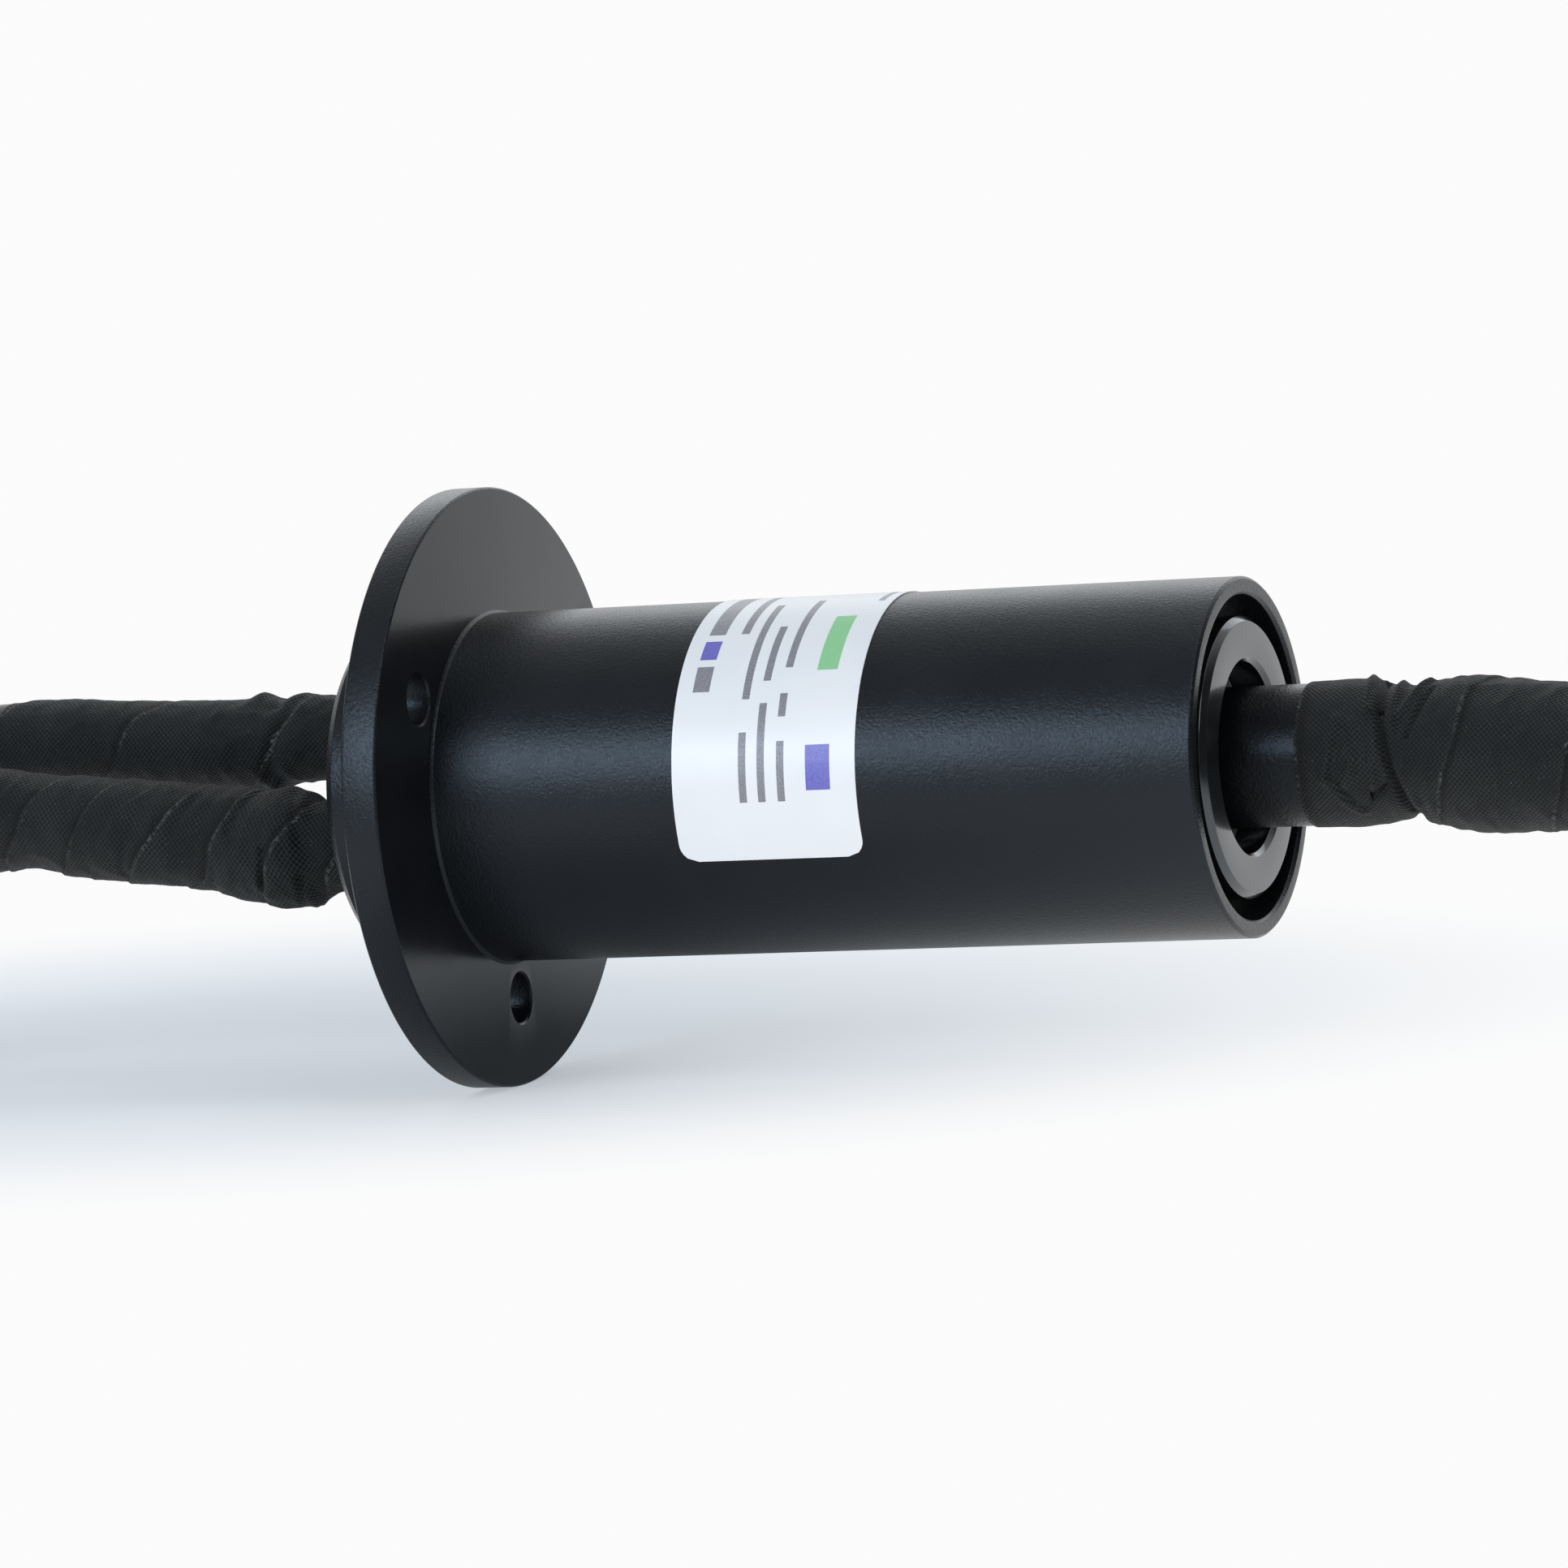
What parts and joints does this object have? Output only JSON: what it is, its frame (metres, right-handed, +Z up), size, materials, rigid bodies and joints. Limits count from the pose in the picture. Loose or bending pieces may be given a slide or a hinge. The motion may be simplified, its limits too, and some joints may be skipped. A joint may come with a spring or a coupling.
{
  "type": "capsule slip ring",
  "caption": "Flanged capsule slip ring: a cylindrical housing with a bolting flange, wired brushes inside, and a ball-bearing rotor that carries its lead out of the free end.",
  "frame": {"origin": "centre of the bolt circle on the flange's mounting face, the face on the barrel's side", "axes": "+X along the spin axis, from the flange to the rotor's free end; +Z up as pictured; -Y towards the camera's side"},
  "size_m": [0.6005, 0.062, 0.062],
  "materials": {
    "black_anodised": "matt, fine bead blasted grain",
    "satin_anodised": "satin, turned",
    "black_blasted": "matt, coarse bead blasted grain",
    "frame_plastic": "moulded",
    "core_plastic": "moulded",
    "screw_steel": "plain",
    "spring_steel": "oiled",
    "bearing_steel": "ground",
    "ball_steel": "polished",
    "board": "coated glass laminate",
    "brush_wire": "drawn, gold flashed",
    "ring_metal": "polished, gold flashed",
    "label_foil": null,
    "lead_sleeve": "smooth sleeve",
    "wire_insulation": "thin coloured insulation",
    "cloth_tape": "wound cloth tape"
  },
  "bodies": {
    "stator": {"housing": "black_anodised", "rear_cap": "black_anodised", "rear_cap_screws": "screw_steel", "rear_bearing_plate": "frame_plastic", "front_frame_plate": "frame_plastic", "rear_bearing_outer": "bearing_steel", "rear_bearing_balls": "ball_steel", "front_bearing_outer": "bearing_steel", "front_bearing_balls": "ball_steel", "bearing_retaining_ring": "spring_steel", "brush_board_a": "board", "brush_board_b": "board", "brush_wires_a": "brush_wire", "brush_wires_b": "brush_wire", "label": "label_foil", "near_lead": "lead_sleeve", "near_lead_tails": "wire_insulation", "far_lead": "lead_sleeve", "far_lead_tails": "wire_insulation"},
    "rotor": {"rear_bearing_inner": "bearing_steel", "front_bearing_inner": "bearing_steel", "ring_core": "core_plastic", "contact_ring_01": "ring_metal", "contact_ring_02": "ring_metal", "contact_ring_03": "ring_metal", "contact_ring_04": "ring_metal", "contact_ring_05": "ring_metal", "contact_ring_06": "ring_metal", "contact_ring_07": "ring_metal", "contact_ring_08": "ring_metal", "contact_ring_09": "ring_metal", "contact_ring_10": "ring_metal", "contact_ring_11": "ring_metal", "contact_ring_12": "ring_metal", "contact_ring_13": "ring_metal", "contact_ring_14": "ring_metal", "contact_ring_15": "ring_metal", "contact_ring_16": "ring_metal", "contact_ring_17": "ring_metal", "contact_ring_18": "ring_metal", "contact_ring_19": "ring_metal", "contact_ring_20": "ring_metal", "contact_ring_21": "ring_metal", "contact_ring_22": "ring_metal", "contact_ring_23": "ring_metal", "contact_ring_24": "ring_metal", "contact_ring_25": "ring_metal", "contact_ring_26": "ring_metal", "contact_ring_27": "ring_metal", "contact_ring_28": "ring_metal", "contact_ring_29": "ring_metal", "contact_ring_30": "ring_metal", "contact_ring_31": "ring_metal", "contact_ring_32": "ring_metal", "contact_ring_33": "ring_metal", "rotor_end_cap": "satin_anodised", "outlet_tube": "black_blasted", "outlet_tape": "cloth_tape", "rotor_lead": "lead_sleeve", "rotor_lead_tails": "wire_insulation"}
  },
  "joints": [
    {"name": "rotor_spin", "type": "hinge", "parent": "stator", "child": "rotor", "pos_m": [0, 0, 0], "axis": [1, 0, 0], "continuous": true}
  ]
}
